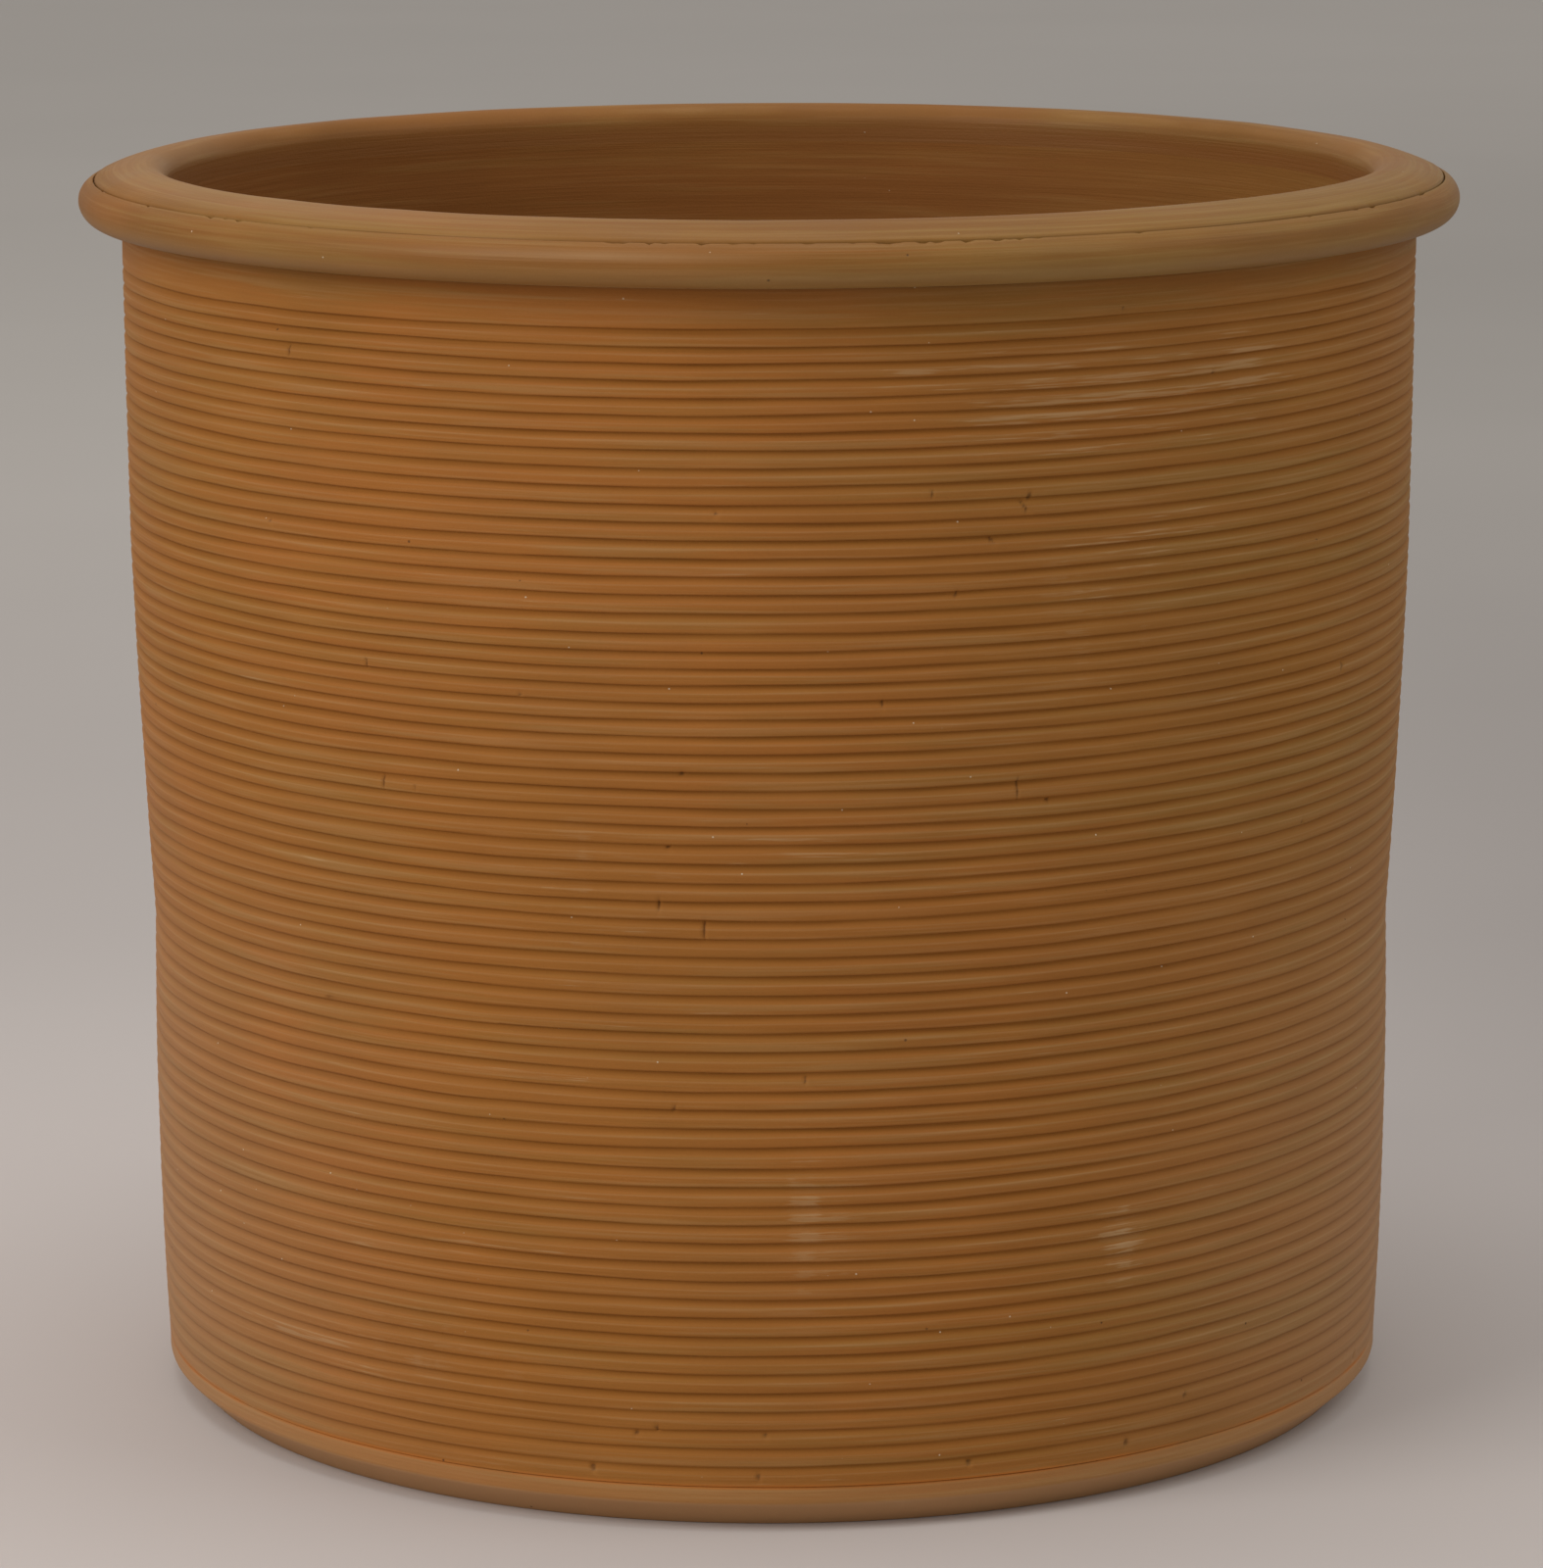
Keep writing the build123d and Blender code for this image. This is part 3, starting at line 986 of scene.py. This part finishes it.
class PLANTER_OT_foot(bpy.types.Operator):
    """Makes the floor slab with its bevelled foot and drain hole, and the coil inside its corner"""

    bl_idname = "planter.foot"
    bl_label = "Foot and floor"

    def execute(self, context):
        columns = context.scene.planter_sizes.wall_columns
        self.slab(columns)
        self.coil(columns)
        return {"FINISHED"}

    @staticmethod
    def slab(columns):
        """The floor slab, with its bevel, band and drain hole, and the tongue inside the wall."""
        heel, heel_level = HEEL
        hole_middle = DRAIN_RADIUS + DRAIN_ROUND
        tongue_radius = heel - HALF_WALL
        sole, sole_round = 233.0, 1.7
        outline = (
            round_corner((hole_middle, DRAIN_ROUND), DRAIN_ROUND, 180, 270, 4)
            + span((hole_middle + 2.0, 0.0), (sole, 0.0), 12)
            + [(sole, 0.0)]
            + round_corner((sole + 2.6, sole_round), sole_round, 270, 315, 3)
            + span((238.6, 2.4), (247.2, 10.2), 4)
            + [(247.2, 10.2), (247.8, 10.9), (heel, 11.8)]
            + span((heel, 12.8), (heel, 17.1), 3)
            + [(heel, 17.1), (247.7, 17.6), (247.1, 17.95), (246.0, heel_level)]
            + [(tongue_radius, heel_level), (tongue_radius, FLOOR_LEVEL)]
            + span((tongue_radius - 3.0, FLOOR_LEVEL), (hole_middle + 1.0, FLOOR_LEVEL), 22)
            + [(hole_middle + 1.0, FLOOR_LEVEL)]
            + round_corner((hole_middle, FLOOR_LEVEL - DRAIN_ROUND), DRAIN_ROUND, 90, 180, 4)
            + span((DRAIN_RADIUS, 21.0), (DRAIN_RADIUS, 4.0), 4)
        )

        def relief(radius, level, angle):
            """Finger rings on the floor, a rough underside, and an edge out of true."""
            rough = uneven(26.0, angle, level, 1.0) + uneven(70.0, angle, level * 3, 0.5)
            if level > 0.0255 and radius < 0.237:
                rings = math.sin(radius / MM * math.tau / 14.0 + angle)
                return radius, angle, level - (rings * 0.3 + 0.3 + abs(rough) * 0.3) * MM
            if level < 0.0002 and radius < 0.234:
                slow = noise.noise(Vector(at(radius * 30, angle, 3.0)))
                return radius, angle, level + max(0.0, slow + 0.2) * 0.5 * MM
            if radius > 0.2455:
                drift = uneven(3.0, angle, level, 0.25 * MM) + rough * 0.06 * MM
                return radius - abs(drift), angle, level
            return radius, angle, level

        slab = turned("floor_slab_fired", in_metres(outline), columns, relief)
        slab.data.materials.append(clay("outside"))
        slab.data.materials.append(clay("inside"))
        for face in slab.data.polygons:
            if face.center.z > (heel_level + 1.0) * MM:
                face.material_index = 1
        hand_over(slab, "floor_slab")

    @staticmethod
    def coil(columns):
        """The coil in the inside corner, hollowed and dabbed by a finger."""
        back = HEEL[0] - WALL_THICKNESS
        front = back - COIL_LEG - SLIP_GAP
        top = FLOOR_LEVEL + COIL_LEG
        toe = 1.2
        sweep = back - front - toe
        drop = COIL_LEG - 1.0
        turns = [math.radians(9 * i) for i in range(1, 10)]
        outline = (
            [(front, FLOOR_LEVEL), (back, FLOOR_LEVEL), (back, top), (back - toe, top)]
            + [(back - toe - sweep * (1 - math.cos(t)), top - drop * math.sin(t)) for t in turns]
            + [(front, FLOOR_LEVEL + 0.6)]
        )

        def pressed(radius, level, angle):
            """Fifty-eight finger dabs in the coil's hollow face."""
            if radius > 0.2290 and level > 0.039 or level < 0.0263:
                return radius, angle, level
            dab = math.cos(angle * 58.0 + uneven(2.0, angle, 0.0, 3.0))
            push = (0.5 + 0.5 * dab) * 0.7 + uneven(9.0, angle, level, 0.3)
            return radius + max(0.0, push) * 0.7 * MM, angle, level - max(0.0, push) * 0.5 * MM

        coil = turned("corner_coil_fired", in_metres(outline), columns, pressed)
        coil.data.materials.append(clay("inside"))
        hand_over(coil, "corner_coil")


class PLANTER_OT_rim(bpy.types.Operator):
    """Makes the bead and the lip of the rim, with the pitted seam between them"""

    bl_idname = "planter.rim"
    bl_label = "Rim"

    def execute(self, context):
        sizes = context.scene.planter_sizes
        chipped = self.chipping(random.Random(sizes.seed))
        self.bead(sizes.rim_columns, chipped)
        self.lip(sizes.rim_columns, chipped)
        return {"FINISHED"}

    @staticmethod
    def chipping(dice):
        """Scatters chips along the seam, and gives how deep it is broken away at an angle."""
        seam_radius = 269.0
        chips = [
            (math.radians(dice.uniform(-14, 26)), dice.uniform(0.7, 2.0), dice.uniform(0.4, 1.0))
            for _index in range(26)
        ]
        chips += [
            (math.radians(dice.uniform(-180, 180)), dice.uniform(0.8, 2.4), dice.uniform(0.3, 0.9))
            for _index in range(60)
        ]

        def chipped(angle):
            total = 0.0
            for centre, half_width, depth in chips:
                gap = (angle - centre + math.pi) % math.tau - math.pi
                away = abs(gap) * seam_radius / half_width
                if away < 1.0:
                    total = max(total, depth * (1.0 - away * away))
            return total

        return chipped

    @staticmethod
    def bead(columns, chipped):
        """The bead: a coil round the wall's collar, cut off where the lip lies on it."""
        bore = COLLAR_RADIUS + SLIP_GAP
        flat = 262.0
        seam_height = 8.05
        top = math.degrees(math.asin(seam_height / BEAD_RADIUS))
        outline = (
            [(bore, WALL_TOP[1]), (flat, WALL_TOP[1])]
            + round_corner(BEAD_CENTRE, BEAD_RADIUS, -90, top, 22)
            + [(268.95, 488.3), (268.9, 486.8), (flat, COLLAR_TOP), (bore, COLLAR_TOP)]
        )

        def relief(radius, level, angle):
            """The outside a little out of true, and the edge at the seam chipped."""
            if radius < BEAD_CENTRE[0] * MM and level < 0.4875:
                return radius, angle, level
            drift = uneven(4.0, angle, level, 0.22 * MM) + uneven(40.0, angle, level, 0.06 * MM)
            radius -= abs(drift)
            if level > 0.4878:
                level -= chipped(angle) * 0.8 * MM
                radius += chipped(angle) * 0.3 * MM
            return radius, angle, level

        bead = turned("rim_bead_fired", in_metres(outline), columns, relief)
        bead.data.materials.append(clay("rim"))
        hand_over(bead, "rim_bead")

    @staticmethod
    def lip(columns, chipped):
        """The lip: a skirt in the collar, and a flange that falls away to the seam."""
        skirt = COLLAR_BORE - SLIP_GAP
        crest = (MOUTH_RADIUS + LIP_ROUND, CREST_LEVEL)
        edge = (267.6, 489.9)
        across = edge[0] - crest[0]
        drop = crest[1] - edge[1]
        steps = 9
        fall = 1.75
        flat_top = [
            (crest[0] + across * i / steps, crest[1] - drop * (i / steps) ** fall)
            for i in range(1, steps + 1)
        ]
        outline = (
            span((MOUTH_RADIUS, LIP_SEAT), (MOUTH_RADIUS, LIP_UNDERSIDE - 1.0), 3)
            + round_corner((crest[0], LIP_UNDERSIDE), LIP_ROUND, 180, 90, steps)
            + flat_top
            + [(268.1, 489.45), (268.4, 488.8), (268.4, 487.6), (268.2, LIP_UNDERSIDE)]
            + [(262.0, LIP_UNDERSIDE), (skirt, LIP_UNDERSIDE), (skirt, LIP_SEAT)]
        )

        def relief(radius, level, angle):
            """The top and mouth a little out of true, and the edge at the seam chipped."""
            if radius > 0.2484 and level < 0.4871 and radius < 0.268:
                return radius, angle, level
            sink = abs(uneven(3.2, angle, level, 0.3 * MM)) + abs(
                uneven(38.0, angle, radius * 4, 0.05 * MM)
            )
            if radius < 0.2405:
                return radius + sink * 0.4, angle, level
            broken = chipped(angle + 0.002) if radius > 0.2673 else 0.0
            return radius - broken * 0.6 * MM, angle, level - (sink if level > 0.489 else 0.0)

        lip = turned("rim_lip_fired", in_metres(outline), columns, relief)
        lip.data.materials.append(clay("rim"))
        hand_over(lip, "rim_lip")


# Studio


def seen_directly(graph):
    """One where the camera or a reflection looks, and zero for the light that falls on things."""
    outputs = graph.add("ShaderNodeLightPath").socket.node.outputs
    camera, glossy, through = (
        Wire(graph, outputs[name])
        for name in ("Is Camera Ray", "Is Glossy Ray", "Is Transmission Ray")
    )
    return graph.math("MAXIMUM", graph.math("MAXIMUM", camera, glossy), through)


def soft_lamp(name, place, aim, size, power, colour):
    """A square area lamp that looks at a point."""
    lamp = bpy.data.lights.new(name, "AREA")
    lamp.size = size
    lamp.energy = power
    lamp.color = colour
    item = bpy.data.objects.new(name, lamp)
    item.location = place
    item.rotation_euler = (Vector(aim) - Vector(place)).to_track_quat("-Z", "Y").to_euler()
    bpy.context.scene.collection.objects.link(item)


class PLANTER_OT_stage(bpy.types.Operator):
    """Makes the floor, the lamps, the air light and the camera"""

    bl_idname = "planter.stage"
    bl_label = "Studio"

    def execute(self, context):
        scene = context.scene
        stage = scene.planter_stage
        self.floor(stage)
        self.air(scene, stage)
        middle = (0, 0, 0.25)
        soft_lamp("Key", (-2.85, -2.1, 2.5), middle, 2.4, stage.key_power, (1.0, 0.97, 0.93))
        soft_lamp("Fill", (2.8, -0.95, 3.1), middle, 2.2, stage.fill_power, (0.97, 1.0, 0.96))
        soft_lamp("Top", (-0.3, 0.4, 3.4), (0, 0, 0.3), 2.6, stage.top_power, (1.0, 0.98, 0.96))
        self.camera(scene, stage)
        scene.view_settings.view_transform = "Standard"
        return {"FINISHED"}

    @staticmethod
    def floor(stage):
        """A wide pale sheet, a little darker behind the pot and to its right."""
        mesh = bpy.data.meshes.new("floor")
        half = 14.0
        mesh.from_pydata(
            [(-half, -half, 0), (half, -half, 0), (half, half, 0), (-half, half, 0)],
            [],
            [(0, 1, 2, 3)],
        )
        floor = bpy.data.objects.new("floor", mesh)
        bpy.context.scene.collection.objects.link(floor)
        material, graph = empty_material("Floor sheet")
        place = graph.add("ShaderNodeTexCoord", output=3)
        x, y, _z = graph.parts(place)
        away = graph.math("SQRT", x * x + y * y)
        colour = graph.mix(graph.ramp(away, 0.3, 3.4), stage.floor, stage.far_floor)
        cloth = graph.noise(place, 1.6, 3.0)
        # Painted shade on the floor: darker behind the pot and to its right
        behind = graph.ramp(y, 0.2, 0.85) * (1.0 - graph.ramp(y, 1.2, 3.0))
        right = graph.ramp(x, -0.05, 0.5) * graph.ramp(y, -1.1, 0.8)
        right = right * (1.0 - graph.ramp(y, 3.5, 7.0))
        tone = 0.97 + cloth * 0.06 - behind * 0.19 - right * 0.17
        graph.finish(graph.times(colour, tone), 0.9, 0.1)
        mesh.materials.append(material)

    @staticmethod
    def air(scene, stage):
        """Even light from all round, which looks like the far floor where it is seen."""
        world = bpy.data.worlds.new("Air")
        world.use_nodes = True
        scene.world = world
        tree = world.node_tree
        tree.nodes.clear()
        graph = Graph(tree)
        seen = seen_directly(graph)
        light = graph.add(
            "ShaderNodeBackground",
            inputs={"Color": (1.0, 0.985, 0.965, 1.0), "Strength": stage.air_light},
        )
        shown = graph.add(
            "ShaderNodeBackground", inputs={"Color": (*stage.far_floor, 1.0), "Strength": 1.0}
        )
        both = graph.add("ShaderNodeMixShader", inputs={0: seen, 1: light, 2: shown})
        output = tree.nodes.new("ShaderNodeOutputWorld")
        tree.links.new(both.socket, output.inputs["Surface"])

    @staticmethod
    def camera(scene, stage):
        """The camera at the photo's place, looking 11 degrees down."""
        camera = bpy.data.cameras.new("Camera")
        camera.lens = stage.lens
        camera.sensor_width = 36.0
        camera.clip_start = 0.05
        camera.clip_end = 60.0
        item = bpy.data.objects.new("Camera", camera)
        item.location = (0.0, -2.536, 0.732)
        look_down, roll, pan = 11.0, 0.14, -0.036
        item.rotation_euler = [math.radians(turn) for turn in (90 - look_down, roll, pan)]
        scene.collection.objects.link(item)
        scene.camera = item


class PLANTER_PT_panel(bpy.types.Panel):
    """Builds the planter step by step"""

    bl_idname = "PLANTER_PT_panel"
    bl_label = "Combed Planter"
    bl_space_type = "VIEW_3D"
    bl_region_type = "UI"
    bl_category = "Planter"

    def draw(self, context):
        for operator in OPERATORS:
            self.layout.operator(operator.bl_idname)
        for group in ("planter_sizes", "planter_colours", "planter_stage"):
            values = getattr(context.scene, group)
            box = self.layout.box()
            for name in values.__annotations__:
                box.prop(values, name)


OPERATORS = (PLANTER_OT_foot, PLANTER_OT_wall, PLANTER_OT_rim, PLANTER_OT_stage)
GROUPS = (
    ("planter_sizes", PlanterSizes),
    ("planter_colours", PlanterColours),
    ("planter_stage", PlanterStage),
)


def register():
    for _name, group in GROUPS:
        bpy.utils.register_class(group)
    for operator in OPERATORS:
        bpy.utils.register_class(operator)
    bpy.utils.register_class(PLANTER_PT_panel)
    for name, group in GROUPS:
        setattr(bpy.types.Scene, name, PointerProperty(type=group))


def unregister():
    for name, _group in GROUPS:
        delattr(bpy.types.Scene, name)
    bpy.utils.unregister_class(PLANTER_PT_panel)
    for operator in reversed(OPERATORS):
        bpy.utils.unregister_class(operator)
    for _name, group in reversed(GROUPS):
        bpy.utils.unregister_class(group)


def main():
    register()
    bpy.ops.planter.foot()
    bpy.ops.planter.wall()
    bpy.ops.planter.rim()
    bpy.ops.planter.stage()
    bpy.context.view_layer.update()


if __name__ == "__main__":
    main()
